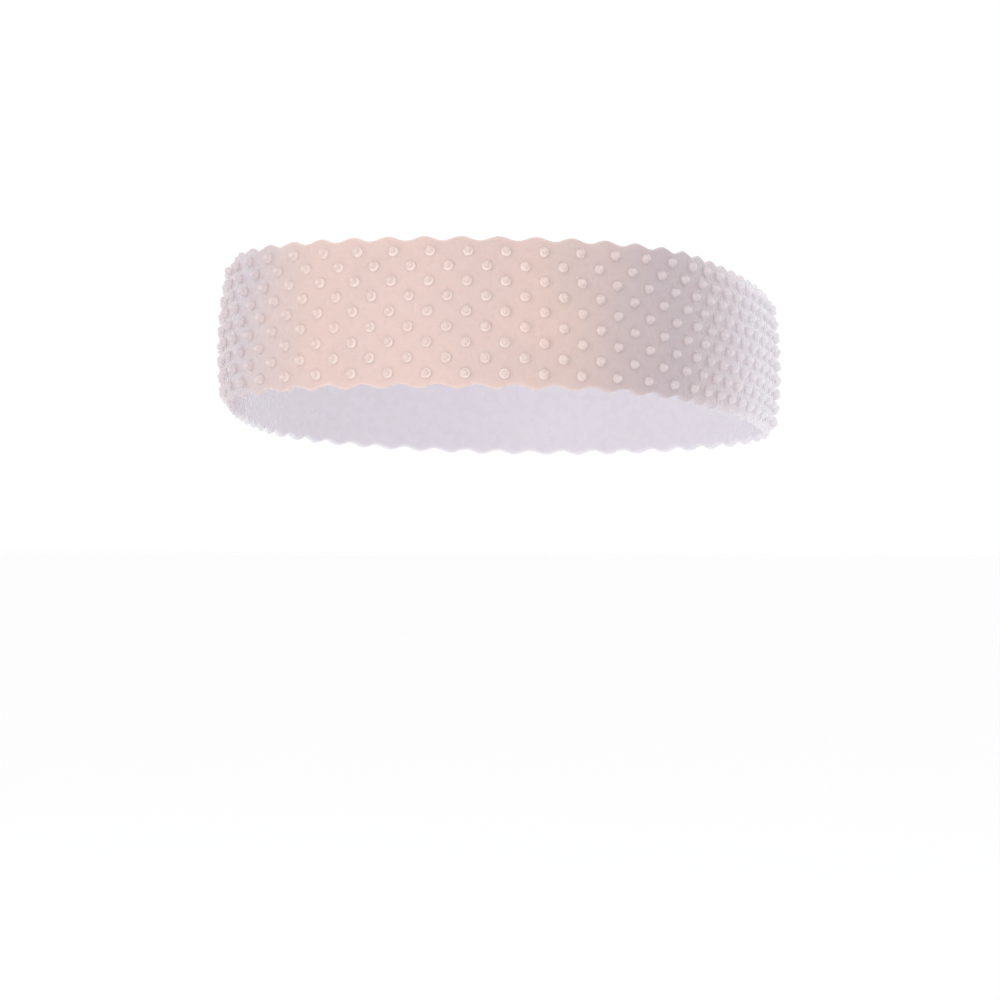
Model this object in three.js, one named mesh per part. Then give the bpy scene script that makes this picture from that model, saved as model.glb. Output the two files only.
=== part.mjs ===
// Wig grip band: a seamless loop of moulded silicone in its worn form, thin and slightly barrelled,
// with staggered rows of small nubs standing on its outer face and gently waved top and bottom edges.
// Millimetres, +Z up, the band's front towards -Y. The origin is the middle of the loop.
import * as THREE from 'three';

// Plan of the outer face at mid height: a front, a corner and a side arc, then a half circle.
const FRONT_RADIUS = 98;
const CORNER_RADIUS = 52.4;
const SIDE_RADIUS = 334;
const FRONT_TURN = THREE.MathUtils.degToRad(15.5);
const CORNER_TURN = THREE.MathUtils.degToRad(75.8);

// Section of the wall: how far it leans in at mid height, and the radius that it bulges to.
const WALL = 1.5;
const FRONT_LEAN = THREE.MathUtils.degToRad(5.4);
const SIDE_LEAN = THREE.MathUtils.degToRad(1.3);
const BACK_LEAN = THREE.MathUtils.degToRad(2.9);
const BULGE_RADIUS = 113;

// Nubs: columns of five and of four take turns, so neighbouring rows are staggered. The first
// column of five stands beside the front centre.
const ROWS = 9;
const FULL_COLUMNS = 57;
const FIRST_COLUMN = -0.65;
const ROW_PITCH = 3.9;
const NUB_DIAMETER = 2.6;
const NUB_TIP_DIAMETER = 1.6;
const NUB_HEIGHT = 2;
const NUB_SIDES = 6;
const NUB_TIP_SIDES = 3;

// Edges: the margins run from the outer rows to the mean line of the wave. The wave's crests stand
// a share of its length ahead of the columns that start and end in the outer rows.
const TOP_MARGIN = 3.7;
const BOTTOM_MARGIN = 3.25;
const WAVE_DEPTH = 1.2;
const WAVE_LEAD = 0.2;

// As worn, the front sits higher than the back.
const WORN_TILT = THREE.MathUtils.degToRad(3.6);

// The inner face is smooth, so it has fewer facets: strips between the two edges.
const INNER_STRIPS = 4;

const silicone = new THREE.MeshStandardMaterial({ color: 0xe2d3d3, roughness: 0.4, metalness: 0 });

// Each arc follows on from the last without a kink. An angle is the turn of the outward normal
// away from straight ahead, and the side arc ends at a right angle, where the half circle starts.
function planArcs() {
  const turns = [0, FRONT_TURN, CORNER_TURN, Math.PI / 2, Math.PI];
  const radii = [FRONT_RADIUS, CORNER_RADIUS, SIDE_RADIUS];
  const centre = new THREE.Vector2(0, 0);
  const arcs = [];
  let length = 0;
  for (let k = 0; k < 4; k += 1) {
    const radius = k < 3 ? radii[k] : arcs[2].radius + arcs[2].centre.x;
    if (k > 0) {
      const step = arcs[k - 1].radius - radius;
      centre.x += step * Math.sin(turns[k]);
      centre.y -= step * Math.cos(turns[k]);
    }
    arcs.push({ radius, start: turns[k], centre: centre.clone(), from: length });
    length += radius * (turns[k + 1] - turns[k]);
  }
  const front = arcs[0].centre.y - arcs[0].radius;
  const back = arcs[3].centre.y + arcs[3].radius;
  for (const arc of arcs) {
    arc.centre.y -= (front + back) / 2;
  }
  return { arcs, halfLength: length };
}

const { arcs, halfLength } = planArcs();
const columnStep = halfLength / FULL_COLUMNS;
const columns = 2 * FULL_COLUMNS;
const topEdge = ((ROWS - 1) / 2) * ROW_PITCH + TOP_MARGIN;
const bottomEdge = -((ROWS - 1) / 2) * ROW_PITCH - BOTTOM_MARGIN;

// A point of the wall. Along runs round the loop from the front centre, positive towards +X,
// up runs up the outer face from the middle row, and out is the distance outside that face.
function wallPoint(along, up, out) {
  const side = Math.sign(along) || 1;
  const distance = Math.abs(along);
  const arc = arcs.findLast((a) => a.from <= distance);
  const turn = arc.start + (distance - arc.from) / arc.radius;
  const endLean = turn < Math.PI / 2 ? FRONT_LEAN : BACK_LEAN;
  const lean = SIDE_LEAN + (endLean - SIDE_LEAN) * Math.cos(turn) ** 2;
  const bend = up / BULGE_RADIUS;
  const chord = 2 * BULGE_RADIUS * Math.sin(bend / 2);
  const reach = out * Math.cos(lean + bend) - chord * Math.sin(lean + bend / 2);
  const x = side * (arc.centre.x + (arc.radius + reach) * Math.sin(turn));
  const y = arc.centre.y - (arc.radius + reach) * Math.cos(turn);
  const z = chord * Math.cos(lean + bend / 2) + out * Math.sin(lean + bend);
  return new THREE.Vector3(x, y, z);
}

// Brings a distance round the loop to the stretch that wallPoint takes, half a loop either way.
function wrapped(along) {
  return along - 2 * halfLength * Math.round(along / (2 * halfLength));
}

// Collects vertices and triangles of the one closed body.
const vertices = [];
const triangles = [];

// Their places along the loop are counted from the first column.
function addVertex(along, up, out) {
  const point = wallPoint(wrapped(along + FIRST_COLUMN), up, out);
  vertices.push(point.x, point.y, point.z);
  return { id: vertices.length / 3 - 1, along, up };
}

function addTriangle(a, b, c) {
  triangles.push(a.id, b.id, c.id);
}

// Fills the band between two rings of corners that run the same way round a nub, by their bearing.
function fillRing(outer, inner, along, up) {
  const bearing = (v) => {
    const away = v.along - along;
    return (Math.atan2(v.up - up, away) + 2 * Math.PI) % (2 * Math.PI);
  };
  const sortedOuter = [...outer].sort((a, b) => bearing(a) - bearing(b));
  const sortedInner = [...inner].sort((a, b) => bearing(a) - bearing(b));
  let a = 0;
  let b = 0;
  while (a < sortedOuter.length || b < sortedInner.length) {
    const here = sortedOuter[a % sortedOuter.length];
    const there = sortedInner[b % sortedInner.length];
    const nextHere = sortedOuter[(a + 1) % sortedOuter.length];
    const nextThere = sortedInner[(b + 1) % sortedInner.length];
    const turnHere = bearing(nextHere) + (a + 1 >= sortedOuter.length ? 2 * Math.PI : 0);
    const turnThere = bearing(nextThere) + (b + 1 >= sortedInner.length ? 2 * Math.PI : 0);
    const moveOuter = b >= sortedInner.length || (a < sortedOuter.length && turnHere <= turnThere);
    if (moveOuter) {
      addTriangle(here, nextHere, there);
      a += 1;
    } else {
      addTriangle(here, nextThere, there);
      b += 1;
    }
  }
}

// A ring of points round a nub's axis, at a height over the outer face.
function nubRing(along, up, diameter, sides, out) {
  const ring = [];
  for (let k = 0; k < sides; k += 1) {
    const angle = (2 * Math.PI * k) / sides;
    const right = (diameter / 2) * Math.cos(angle);
    const rise = (diameter / 2) * Math.sin(angle);
    ring.push(addVertex(along + right, up + rise, out));
  }
  return ring;
}

// One nub and the cell of the outer face that it stands in, between the given corners.
function addNub(along, up, corners) {
  const base = nubRing(along, up, NUB_DIAMETER, NUB_SIDES, 0);
  const tip = nubRing(along, up, NUB_TIP_DIAMETER, NUB_TIP_SIDES, NUB_HEIGHT);
  fillRing(corners, base, along, up);
  fillRing(base, tip, along, up);
  for (let k = 1; k < tip.length - 1; k += 1) {
    addTriangle(tip[0], tip[k], tip[k + 1]);
  }
}

const loopIndex = (k, count) => ((k % count) + count) % count;
const rowHeight = (row) => ((ROWS - 1) / 2 - row) * ROW_PITCH;

// The corners between the nubs: every second place of each row, staggered like the nubs.
const corners = [];
for (let row = 0; row < ROWS; row += 1) {
  corners.push([]);
  for (let column = 0; column < columns; column += 1) {
    const isCorner = (row + column) % 2 === 1;
    corners[row].push(isCorner ? addVertex(column * columnStep, rowHeight(row), 0) : null);
  }
}

// One edge loop: a crest and a trough to each wave, and the crests point away from the band.
function edgeLoop(up, away, out) {
  const loop = [];
  for (let k = 0; k < columns; k += 1) {
    const swing = k % 2 === 0 ? WAVE_DEPTH / 2 : -WAVE_DEPTH / 2;
    loop.push(addVertex((k - 2 * WAVE_LEAD) * columnStep, up + away * swing, out));
  }
  return loop;
}

const topOuter = edgeLoop(topEdge, 1, 0);
const topInner = edgeLoop(topEdge, 1, -WALL);
const bottomOuter = edgeLoop(bottomEdge, -1, 0);
const bottomInner = edgeLoop(bottomEdge, -1, -WALL);

// A corner as seen from a nub: its place round the loop is unwrapped next to the nub.
function near(vertex, along) {
  const loop = 2 * halfLength;
  const shift = loop * Math.round((along - vertex.along) / loop);
  return { id: vertex.id, along: vertex.along + shift, up: vertex.up };
}

// The outer face: a nub in each cell, and in the outer rows a small triangle beside each cell.
for (let row = 0; row < ROWS; row += 1) {
  for (let column = 0; column < columns; column += 1) {
    const along = column * columnStep;
    const next = loopIndex(column + 1, columns);
    const above = row > 0 ? [corners[row - 1][column]] : [topOuter[next], topOuter[column]];
    const below = row < ROWS - 1 ? [corners[row + 1][column]] : [bottomOuter[column], bottomOuter[next]];
    const own = corners[row][column];
    if (own === null) {
      const left = corners[row][loopIndex(column - 1, columns)];
      const right = corners[row][next];
      const cell = [right, ...above, left, ...below];
      addNub(along, rowHeight(row), cell.map((v) => near(v, along)));
    }
    if (own !== null && row === 0) {
      addTriangle(own, ...above);
    }
    if (own !== null && row === ROWS - 1) {
      addTriangle(own, ...below);
    }
  }
}

// A strip of quads between two loops with a point for each column.
function addStrip(lower, upper) {
  for (let k = 0; k < lower.length; k += 1) {
    const next = loopIndex(k + 1, lower.length);
    addTriangle(lower[k], lower[next], upper[next]);
    addTriangle(lower[k], upper[next], upper[k]);
  }
}

addStrip(topOuter, topInner);
addStrip(bottomInner, bottomOuter);

// The inner face: coarse loops with one point for each full column, joined to the finer edges.
function innerLoop(share) {
  const up = bottomEdge + (topEdge - bottomEdge) * share;
  const loop = [];
  for (let k = 0; k < FULL_COLUMNS; k += 1) {
    loop.push(addVertex(2 * k * columnStep, up, -WALL));
  }
  return loop;
}

function joinCoarse(coarse, fine, isTop) {
  for (let k = 0; k < coarse.length; k += 1) {
    const next = loopIndex(k + 1, coarse.length);
    const ahead = loopIndex(2 * k + 2, fine.length);
    const faces = [
      [coarse[k], fine[2 * k], fine[2 * k + 1]],
      [coarse[k], fine[2 * k + 1], fine[ahead]],
      [coarse[k], fine[ahead], coarse[next]],
    ];
    for (const [a, b, c] of faces) {
      if (isTop) {
        addTriangle(a, b, c);
      } else {
        addTriangle(a, c, b);
      }
    }
  }
}

const innerLoops = [];
for (let strip = 1; strip < INNER_STRIPS; strip += 1) {
  innerLoops.push(innerLoop(strip / INNER_STRIPS));
}
for (let strip = 1; strip < innerLoops.length; strip += 1) {
  addStrip(innerLoops[strip], innerLoops[strip - 1]);
}
joinCoarse(innerLoops[0], bottomInner, false);
joinCoarse(innerLoops.at(-1), topInner, true);

const shape = new THREE.BufferGeometry();
shape.setAttribute('position', new THREE.Float32BufferAttribute(vertices, 3));
shape.setIndex(triangles);
shape.computeVertexNormals();

const band = new THREE.Mesh(shape, silicone);
band.name = 'silicone_band';
band.rotation.x = -WORN_TILT;

const gripBand = new THREE.Group();
gripBand.add(band);

export default gripBand;
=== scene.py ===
import math

import bpy
import numpy as np
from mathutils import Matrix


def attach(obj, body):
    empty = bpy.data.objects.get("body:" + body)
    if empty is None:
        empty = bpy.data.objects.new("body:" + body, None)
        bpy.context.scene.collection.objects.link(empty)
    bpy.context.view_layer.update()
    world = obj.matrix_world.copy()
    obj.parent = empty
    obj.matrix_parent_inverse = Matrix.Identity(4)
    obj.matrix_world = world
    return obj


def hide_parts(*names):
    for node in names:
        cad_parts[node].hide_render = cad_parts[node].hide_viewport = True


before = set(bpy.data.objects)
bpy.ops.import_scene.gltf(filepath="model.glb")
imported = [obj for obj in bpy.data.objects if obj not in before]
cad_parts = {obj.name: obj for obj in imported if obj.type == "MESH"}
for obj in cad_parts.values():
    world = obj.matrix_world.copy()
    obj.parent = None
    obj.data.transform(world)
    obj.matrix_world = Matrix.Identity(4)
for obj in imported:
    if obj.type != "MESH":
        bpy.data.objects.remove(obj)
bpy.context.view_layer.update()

# The camera
# It stands level, a little lower than the band and to the +X side of straight ahead, and the band
# fills the upper middle of a square picture. The sizes come from lining up nubs and edges.

MM = 0.001
CAMERA_DISTANCE = 1050 * MM
CAMERA_AZIMUTH = math.radians(10.0)
CAMERA_DROP = 50.4 * MM
CAMERA_ASIDE = 0.8 * MM
CAMERA_PITCH = math.radians(0.57)
CAMERA_ROLL = math.radians(-0.32)
FOCAL_PIXELS = 3823.6
PICTURE_PIXELS = 1000
SENSOR_WIDTH = 36
CLIP_START = 0.05
CLIP_END = 50

lens = bpy.data.cameras.new("camera")
lens.sensor_width = SENSOR_WIDTH
lens.lens = FOCAL_PIXELS / PICTURE_PIXELS * SENSOR_WIDTH
lens.clip_start = CLIP_START
lens.clip_end = CLIP_END
camera = bpy.data.objects.new("camera", lens)
camera.location = (
    CAMERA_DISTANCE * math.sin(CAMERA_AZIMUTH) + CAMERA_ASIDE * math.cos(CAMERA_AZIMUTH),
    -CAMERA_DISTANCE * math.cos(CAMERA_AZIMUTH) + CAMERA_ASIDE * math.sin(CAMERA_AZIMUTH),
    -CAMERA_DROP,
)
camera.rotation_euler = (math.pi / 2 + CAMERA_PITCH, CAMERA_ROLL, CAMERA_AZIMUTH)
bpy.context.scene.collection.objects.link(camera)
bpy.context.scene.camera = camera

# The silicone band
# One seamless loop of milky platinum silicone, compression moulded with its nubs and waved edges.
# It keeps the stretched form that it is worn in, and grips with its smooth inner face.

FRONT_RADIUS = 98 * MM
CORNER_RADIUS = 52.4 * MM
SIDE_RADIUS = 334 * MM
FRONT_TURN = math.radians(15.5)
CORNER_TURN = math.radians(75.8)
WALL = 1.5 * MM
FRONT_LEAN = math.radians(5.4)
SIDE_LEAN = math.radians(1.3)
BACK_LEAN = math.radians(2.9)
BULGE_RADIUS = 113 * MM
WORN_TILT = math.radians(3.6)
ROWS = 9
FULL_COLUMNS = 57
FIRST_COLUMN = -0.65 * MM
ROW_PITCH = 3.9 * MM
TOP_MARGIN = 3.7 * MM
BOTTOM_MARGIN = 3.25 * MM
WAVE_DEPTH = 1.2 * MM
WAVE_LEAD = 0.2
RIM_ROUNDING = 0.55 * MM

# A nub from its filleted foot to its domed tip: radius and height over the outer face.
NUB_HEIGHT = 2.0 * MM
NUB_PROFILE = [
    (1.55 * MM, 0.00 * MM),
    (1.28 * MM, 0.09 * MM),
    (1.18 * MM, 0.30 * MM),
    (1.11 * MM, 0.65 * MM),
    (1.01 * MM, 1.05 * MM),
    (0.85 * MM, 1.45 * MM),
    (0.59 * MM, 1.77 * MM),
    (0.30 * MM, 1.94 * MM),
]

# The mesh: sides of a nub, how far an outer row's cell reaches over its margin, where a ring lies
# between a cell's outline and its nub's foot, rows of the margins and of the inner face, the turns
# of a rounded rim, and the digits of a metre to which points that coincide agree.
NUB_SIDES = 16
OUTER_CELL = 2.0 * MM
MIDDLE_RING = 0.55
MARGIN_ROWS = 4
INNER_ROWS = 8
RIM_TURNS = [0, 30, 60, 90]
MERGE_DIGITS = 7


def plan_arcs():
    """The outer face's plan at mid height: arcs to the widest place, then a half circle."""
    turns = [0, FRONT_TURN, CORNER_TURN, math.pi / 2, math.pi]
    radii = [FRONT_RADIUS, CORNER_RADIUS, SIDE_RADIUS, None]
    x = y = length = 0.0
    rows = []
    for k, radius in enumerate(radii):
        if radius is None:
            radius = rows[-1][0] + x
        if rows:
            step = rows[-1][0] - radius
            x += step * math.sin(turns[k])
            y -= step * math.cos(turns[k])
        rows.append([radius, turns[k], x, y, length])
        length += radius * (turns[k + 1] - turns[k])
    front = rows[0][3] - rows[0][0]
    back = rows[3][3] + rows[3][0]
    table = np.array(rows)
    table[:, 3] -= (front + back) / 2
    return table, length


ARCS, HALF_LOOP = plan_arcs()
COLUMN_STEP = HALF_LOOP / FULL_COLUMNS
OUTER_ROW = (ROWS - 1) / 2 * ROW_PITCH
TOP_EDGE = OUTER_ROW + TOP_MARGIN
BOTTOM_EDGE = -OUTER_ROW - BOTTOM_MARGIN


def wall_points(along, up, out):
    """Points of the wall from the distance round the loop, up the outer face and out of it."""
    along, up, out = np.broadcast_arrays(along, up, out)
    along = along + FIRST_COLUMN
    along = along - 2 * HALF_LOOP * np.round(along / (2 * HALF_LOOP))
    distance = np.abs(along)
    arc = np.clip(np.searchsorted(ARCS[:, 4], distance, side="right") - 1, 0, 3)
    radius, start, centre_x, centre_y, begin = np.moveaxis(ARCS[arc], -1, 0)
    turn = start + (distance - begin) / radius
    end_lean = np.where(turn < math.pi / 2, FRONT_LEAN, BACK_LEAN)
    lean = SIDE_LEAN + (end_lean - SIDE_LEAN) * np.cos(turn) ** 2
    bend = up / BULGE_RADIUS
    chord = 2 * BULGE_RADIUS * np.sin(bend / 2)
    reach = out * np.cos(lean + bend) - chord * np.sin(lean + bend / 2)
    x = np.where(along < 0, -1, 1) * (centre_x + (radius + reach) * np.sin(turn))
    y = centre_y - (radius + reach) * np.cos(turn)
    z = chord * np.cos(lean + bend / 2) + out * np.sin(lean + bend)
    tilt_cos, tilt_sin = math.cos(WORN_TILT), math.sin(WORN_TILT)
    return np.stack([x, y * tilt_cos + z * tilt_sin, z * tilt_cos - y * tilt_sin], axis=-1)


def grid_faces(rows, columns, first):
    """Quads between the rings of a grid that closes on itself along its columns."""
    here = np.arange(columns)
    ahead = (here + 1) % columns
    faces = []
    for row in range(rows - 1):
        low, high = first + row * columns, first + (row + 1) * columns
        faces.append(np.stack([low + here, low + ahead, high + ahead, high + here], axis=-1))
    return np.concatenate(faces)


def nub_cell(top, bottom):
    """Rings from a diamond cell's outline in to the nub's tip: offsets along, up and out."""
    quarter = NUB_SIDES // 4
    corners = np.array([(COLUMN_STEP, 0), (0, top), (-COLUMN_STEP, 0), (0, -bottom)])
    following = np.roll(corners, -1, axis=0)
    share = (np.arange(quarter) / quarter)[None, :, None]
    outline = (corners[:, None] * (1 - share) + following[:, None] * share).reshape(-1, 2)
    angle = 2 * math.pi * np.arange(NUB_SIDES) / NUB_SIDES
    circle = np.stack([np.cos(angle), np.sin(angle)], axis=-1)
    foot = circle * NUB_PROFILE[0][0]
    rings = [(outline, 0.0), (outline * (1 - MIDDLE_RING) + foot * MIDDLE_RING, 0.0)]
    rings += [(circle * radius, height) for radius, height in NUB_PROFILE]
    return np.stack([np.c_[flat, np.full(NUB_SIDES, out)] for flat, out in rings])


def rim_sheet():
    """The outer margins, the rounded rims and the smooth inner face, as one sheet of rows."""
    steps = NUB_SIDES // 4
    samples = 2 * FULL_COLUMNS * steps
    along = np.arange(samples) * COLUMN_STEP / steps
    from_column = np.abs((along / COLUMN_STEP + 1) % 2 - 1)
    wave = WAVE_DEPTH / 2 * np.cos(math.pi * along / COLUMN_STEP + 2 * math.pi * WAVE_LEAD)
    cell_line = OUTER_ROW + OUTER_CELL * (1 - from_column)
    margins = np.linspace(0, 1, MARGIN_ROWS)[:, None]
    turns = np.radians(RIM_TURNS)
    rises = RIM_ROUNDING * np.sin(turns)
    insets = RIM_ROUNDING * (1 - np.cos(turns))

    def half(edge):
        flat_end = edge + wave - RIM_ROUNDING
        face = cell_line * (1 - margins) + flat_end * margins
        outer = [(row, 0.0) for row in face]
        outer += [(flat_end + rise, -inset) for rise, inset in zip(rises[1:], insets[1:])]
        inner = [(flat_end + rise, inset - WALL) for rise, inset in zip(rises[::-1], insets[::-1])]
        return outer + inner, flat_end

    top, top_end = half(TOP_EDGE)
    bottom, bottom_end = half(-BOTTOM_EDGE)
    shares = np.linspace(0, 1, INNER_ROWS + 2)[1:-1]
    inner_face = [(top_end * (1 - share) - bottom_end * share, -WALL) for share in shares]
    rows = top + inner_face + [(-up, out) for up, out in reversed(bottom)]
    return np.stack([np.stack([along, up, np.full(samples, out)], axis=-1) for up, out in rows])


def band_patches():
    """Point places and faces of the whole band: every nub's cell, and one sheet over the rims."""
    places, quads, fans = [], [], []
    count = 0
    for row in range(ROWS):
        height = ((ROWS - 1) / 2 - row) * ROW_PITCH
        rings = nub_cell(
            OUTER_CELL if row == 0 else ROW_PITCH,
            OUTER_CELL if row == ROWS - 1 else ROW_PITCH,
        )
        for column in range(row % 2, 2 * FULL_COLUMNS, 2):
            at = np.array([column * COLUMN_STEP, height, 0.0])
            cell = rings.reshape(-1, 3) + at
            tip = at + (0.0, 0.0, NUB_HEIGHT)
            places += [cell, tip[None]]
            quads.append(grid_faces(len(rings), NUB_SIDES, count))
            last = count + len(cell) - NUB_SIDES + np.arange(NUB_SIDES)
            apex = np.full(NUB_SIDES, count + len(cell))
            fans.append(np.stack([last, np.roll(last, -1), apex], axis=-1))
            count += len(cell) + 1
    sheet = rim_sheet()
    places.append(sheet.reshape(-1, 3))
    quads.append(grid_faces(sheet.shape[0], sheet.shape[1], count))
    return np.concatenate(places), np.concatenate(quads), np.concatenate(fans)


# Neighbouring cells share their outlines, so points that coincide become one.
places, quads, fans = band_patches()
points = wall_points(places[:, 0], places[:, 1], places[:, 2])
rounded = np.round(points, MERGE_DIGITS)
_, kept, merged = np.unique(rounded, axis=0, return_index=True, return_inverse=True)
merged = merged.ravel()
faces = [list(face) for face in merged[quads]] + [list(face) for face in merged[fans]]

band_mesh = bpy.data.meshes.new("silicone_band_moulded")
band_mesh.from_pydata(points[kept].tolist(), [], faces)
band_mesh.validate()
band_mesh.shade_smooth()

# Two values at each point tell the material where it is: how far the point stands out of the wall,
# as a share of a nub's height, and how far round the loop it lies from the middle of the front.
proud_values = band_mesh.attributes.new("proud", "FLOAT", "POINT")
proud_values.data.foreach_set("value", np.clip(places[kept, 2] / NUB_HEIGHT, 0, 1))
round_loop = places[kept, 0]
round_loop = np.abs(round_loop - 2 * HALF_LOOP * np.round(round_loop / (2 * HALF_LOOP)))
front_values = band_mesh.attributes.new("from_front", "FLOAT", "POINT")
front_values.data.foreach_set("value", round_loop)

band = bpy.data.objects.new("silicone_band_moulded", band_mesh)
bpy.context.scene.collection.objects.link(band)


def linear(hex_colour):
    """An sRGB hex colour as the linear colour that a shader takes."""
    channels = [int(hex_colour[k : k + 2], 16) / 255 for k in (1, 3, 5)]
    return [c / 12.92 if c <= 0.04045 else ((c + 0.055) / 1.055) ** 2.4 for c in channels] + [1]


def add_node(tree, kind, settings=None, links=None):
    """Adds a node, sets its properties and unlinked sockets, and links its other sockets."""
    node = tree.nodes.new(kind)
    for name, value in (settings or {}).items():
        if isinstance(name, str) and hasattr(node, name):
            setattr(node, name, value)
        else:
            node.inputs[name].default_value = value
    for name, source in (links or {}).items():
        tree.links.new(source, node.inputs[name])
    return node


# Milky platinum silicone, compression moulded: soft light gathers inside it, so a nub is paler than
# the wall. It has a satin skin with the fine grain of the blasted mould. Painted into its colour: a
# thin crescent of painted highlight on each nub's flank over its foot, painted shade that greys the
# nubs' tips at the front and painted light that whitens them towards the sides, and a wall tone
# that runs from a blush at the front through lilac at the sides to milky at the back, painted to
# stand in for the skin seen through the thin wall and for the paler look of the wall at grazing
# angles.
PAINTED_FRONT_BLUSH = "#d7c2bb"
PAINTED_SIDE_LILAC = "#c3b6ba"
PAINTED_BACK_MILK = "#dcd7de"
PAINTED_TIP_SHADE = "#a8acae"
PAINTED_TIP_LIGHT = "#eef2f4"
PAINTED_FLANK_HIGHLIGHT = "#faf0ec"
SILICONE_IOR = 1.41
LIGHT_REACH = 1.2 * MM

silicone = bpy.data.materials.new("milky_platinum_silicone")
silicone.use_nodes = True
tree = silicone.node_tree
tree.nodes.clear()
place = add_node(tree, "ShaderNodeTexCoord").outputs["Object"]
proud, from_front = [
    add_node(tree, "ShaderNodeAttribute", {"attribute_name": name}).outputs["Fac"]
    for name in ("proud", "from_front")
]

# Slow clouds let the blush and the lilac run into each other unevenly, and broad, shallow waves of
# the skin vary its sheen. The blasted grain is really finer than its size here, which is as fine as
# it still shows. After each size in mm come the layers of detail and how strong they are.
CLOUD_MM = 24
SKIN_MM = 3
GRAIN_MM = 0.35
SKIN_BUMP = {"Strength": 0.2, "Distance": 0.025 * MM}
GRAIN_BUMP = {"Strength": 0.25, "Distance": 0.012 * MM}
clouds, skin, grain = [
    add_node(
        tree,
        "ShaderNodeTexNoise",
        {"Scale": 1000 / size_mm, "Detail": layers, "Roughness": strength},
        {"Vector": place},
    ).outputs["Fac"]
    for size_mm, layers, strength in [(CLOUD_MM, 1, 0.5), (SKIN_MM, 1, 0.5), (GRAIN_MM, 2, 0.6)]
]

# How each tone comes in: what it follows, where it starts and ends, its value before and after, and
# the kind of step. Round the loop it starts and ends at metres from the middle of the front, and on
# a nub at shares of its height.
RAMPS = {
    # Several ramps below place painted light and shade: the wall's painted tones round the loop,
    # the painted tone of the nubs' tips, and the painted highlight up the nubs' flanks.
    "cool": (from_front, 22 * MM, 68 * MM, 0, 1, "SMOOTHSTEP"),
    "milky": (from_front, 72 * MM, 150 * MM, 0, 1, "SMOOTHSTEP"),
    "painted_tip_round_loop": (from_front, 60 * MM, 85 * MM, 0.08, 0.2, "LINEAR"),
    "painted_highlight_round_loop": (from_front, 20 * MM, 50 * MM, 0.85, 0.25, "LINEAR"),
    "tip": (proud, 0.05, 0.5, 0, 1, "SMOOTHSTEP"),
    "painted_highlight_start": (proud, 0.0, 0.18, 0, 1, "SMOOTHSTEP"),
    "painted_highlight_end": (proud, 0.25, 0.85, 1, 0, "SMOOTHSTEP"),
    "cloud_shift": (clouds, 0.35, 0.65, -0.12, 0.12, "LINEAR"),
    "satin": (skin, 0.3, 0.7, 0.22, 0.34, "LINEAR"),
}
ramps = {}
for name, (follows, start, end, before, after, step_kind) in RAMPS.items():
    ends = {"From Min": start, "From Max": end, "To Min": before, "To Max": after}
    ramps[name] = add_node(
        tree,
        "ShaderNodeMapRange",
        {"interpolation_type": step_kind, **ends},
        {"Value": follows},
    ).outputs["Result"]

# The share of the painted side tone, with the random clouds running through it.
painted_side_and_cloud_share = add_node(
    tree,
    "ShaderNodeMath",
    {"operation": "ADD", "use_clamp": True},
    {0: ramps["cool"], 1: ramps["cloud_shift"]},
).outputs[0]
# Where the painted tip tone lies: on the nubs' domes, more of it towards the sides of the loop.
painted_tip_share = add_node(
    tree,
    "ShaderNodeMath",
    {"operation": "MULTIPLY"},
    {0: ramps["tip"], 1: ramps["painted_tip_round_loop"]},
).outputs[0]
# The mask of the painted highlight: a ring up each nub's flank from its foot, fading out round the
# loop away from the front.
ring = add_node(
    tree,
    "ShaderNodeMath",
    {"operation": "MULTIPLY"},
    {0: ramps["painted_highlight_start"], 1: ramps["painted_highlight_end"]},
).outputs[0]
painted_highlight_share = add_node(
    tree,
    "ShaderNodeMath",
    {"operation": "MULTIPLY"},
    {0: ring, 1: ramps["painted_highlight_round_loop"]},
).outputs[0]

# The sockets of a colour mix: its share, its two colours and its result.
SHARE, FIRST, SECOND, MIXED = 0, 6, 7, 2
# The wall's painted tones: the blush at the front stands in for the skin seen through the thin
# wall, and the lilac sides and the milky back for the wall's paler look at grazing angles.
painted_side_and_cloud_colour = add_node(
    tree,
    "ShaderNodeMix",
    {"data_type": "RGBA", FIRST: linear(PAINTED_FRONT_BLUSH), SECOND: linear(PAINTED_SIDE_LILAC)},
    {SHARE: painted_side_and_cloud_share},
).outputs[MIXED]
painted_wall_and_cloud_colour = add_node(
    tree,
    "ShaderNodeMix",
    {"data_type": "RGBA", SECOND: linear(PAINTED_BACK_MILK)},
    {SHARE: ramps["milky"], FIRST: painted_side_and_cloud_colour},
).outputs[MIXED]
# Painted shade and light on the nubs' tips: a painted grey shade at the front, and painted light
# that makes them paler towards the sides.
painted_tip_tone = add_node(
    tree,
    "ShaderNodeMix",
    {"data_type": "RGBA", FIRST: linear(PAINTED_TIP_SHADE), SECOND: linear(PAINTED_TIP_LIGHT)},
    {SHARE: ramps["cool"]},
).outputs[MIXED]
colour_with_painted_tips = add_node(
    tree,
    "ShaderNodeMix",
    {"data_type": "RGBA"},
    {SHARE: painted_tip_share, FIRST: painted_wall_and_cloud_colour, SECOND: painted_tip_tone},
).outputs[MIXED]
# The painted highlight: a pale crescent over each nub's flank, which also lightens the shade round
# its foot.
colour = add_node(
    tree,
    "ShaderNodeMix",
    {"data_type": "RGBA", SECOND: linear(PAINTED_FLANK_HIGHLIGHT)},
    {SHARE: painted_highlight_share, FIRST: colour_with_painted_tips},
).outputs[MIXED]

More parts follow.
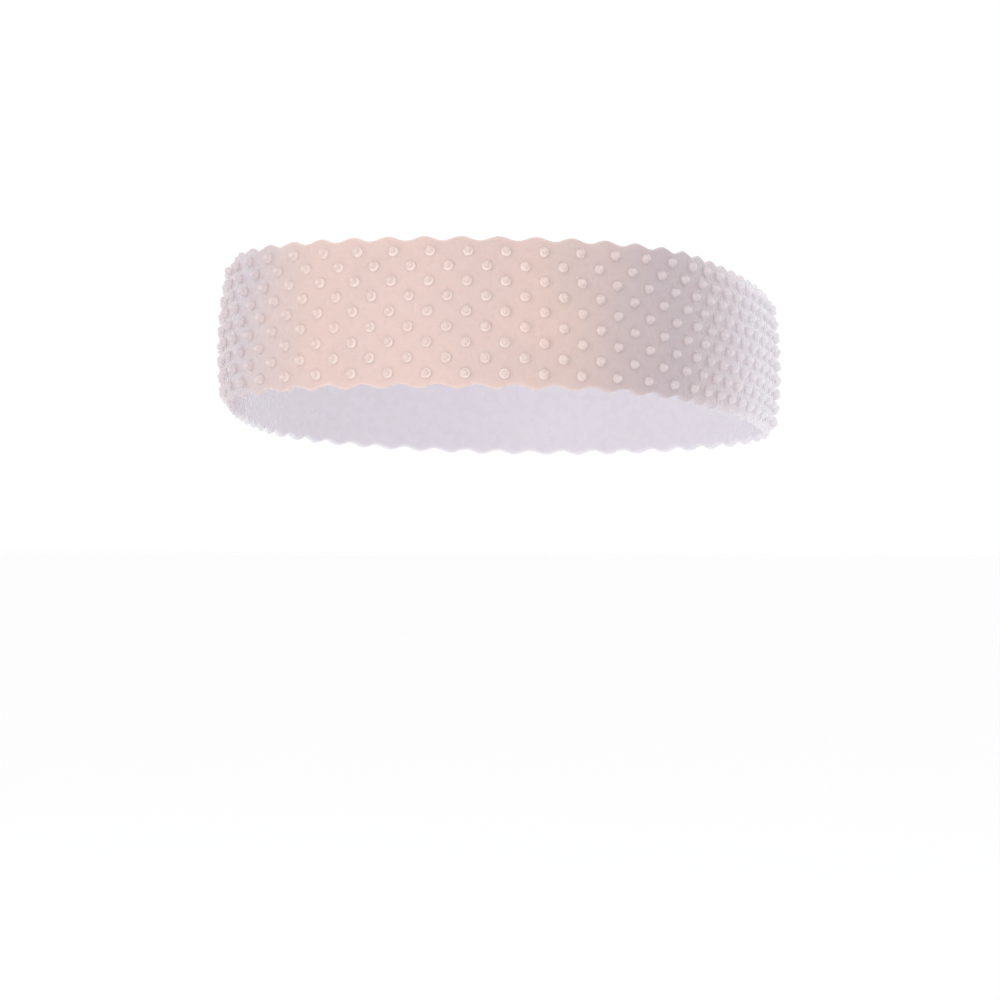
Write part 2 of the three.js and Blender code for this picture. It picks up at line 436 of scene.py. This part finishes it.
grain_bump = add_node(tree, "ShaderNodeBump", GRAIN_BUMP, {"Height": grain}).outputs["Normal"]
skin_bump = add_node(
    tree, "ShaderNodeBump", SKIN_BUMP, {"Height": skin, "Normal": grain_bump}
).outputs["Normal"]
surface = add_node(
    tree,
    "ShaderNodeBsdfPrincipled",
    {
        "IOR": SILICONE_IOR,
        "Subsurface Weight": 1.0,
        "Subsurface Radius": (1.0, 1.0, 1.0),
        "Subsurface Scale": LIGHT_REACH,
    },
    {"Base Color": colour, "Roughness": ramps["satin"], "Normal": skin_bump},
).outputs["BSDF"]
add_node(tree, "ShaderNodeOutputMaterial", None, {"Surface": surface})
band_mesh.materials.append(silicone)

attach(band, "root")
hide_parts("silicone_band")

# The studio
# A plain white floor well below the band, a white surround, a soft lamp in front of it and a
# fainter, cooler one at its -X side.

FLOOR_DROP = 250 * MM
FLOOR_RADIUS = 60.0
FLOOR_SIDES = 96
FLOOR_WHITE = "#fdfdfd"
FLOOR_ROUGHNESS = 0.9
SURROUND_WHITE = (1, 1, 1, 1)
SURROUND_STRENGTH = 1.0
LAMP_DISTANCE = 1.3
LAMP_SIZE = 1.2
LAMP_HEIGHT = math.radians(5)

# Each lamp's bearing in degrees, from straight ahead towards +X, its watts and its colour.
SOFT_BOXES = {
    "front_soft_box": (-12, 4.8, "#ffffff"),
    "minus_x_soft_box": (-105, 1.8, "#c4ecff"),
}

bpy.ops.mesh.primitive_circle_add(
    vertices=FLOOR_SIDES, radius=FLOOR_RADIUS, fill_type="NGON", location=(0, 0, -FLOOR_DROP)
)
floor = bpy.context.object
floor.name = "floor"
plaster = bpy.data.materials.new("matt_white_plaster")
plaster.use_nodes = True
plaster_shader = plaster.node_tree.nodes["Principled BSDF"]
plaster_shader.inputs["Base Color"].default_value = linear(FLOOR_WHITE)
plaster_shader.inputs["Roughness"].default_value = FLOOR_ROUGHNESS
floor.data.materials.append(plaster)

world = bpy.data.worlds.new("white_surround")
world.use_nodes = True
world.node_tree.nodes["Background"].inputs["Color"].default_value = SURROUND_WHITE
world.node_tree.nodes["Background"].inputs["Strength"].default_value = SURROUND_STRENGTH
bpy.context.scene.world = world

for name, (degrees, watts, hex_colour) in SOFT_BOXES.items():
    bearing = math.radians(degrees)
    light = bpy.data.lights.new(name, "AREA")
    light.shape = "SQUARE"
    light.size = LAMP_SIZE
    light.energy = watts
    light.color = linear(hex_colour)[:3]
    lamp = bpy.data.objects.new(name, light)
    lamp.location = (
        LAMP_DISTANCE * math.sin(bearing) * math.cos(LAMP_HEIGHT),
        -LAMP_DISTANCE * math.cos(bearing) * math.cos(LAMP_HEIGHT),
        LAMP_DISTANCE * math.sin(LAMP_HEIGHT),
    )
    lamp.rotation_euler = (math.pi / 2 - LAMP_HEIGHT, 0, bearing)
    bpy.context.scene.collection.objects.link(lamp)

bpy.context.scene.view_settings.view_transform = "Standard"
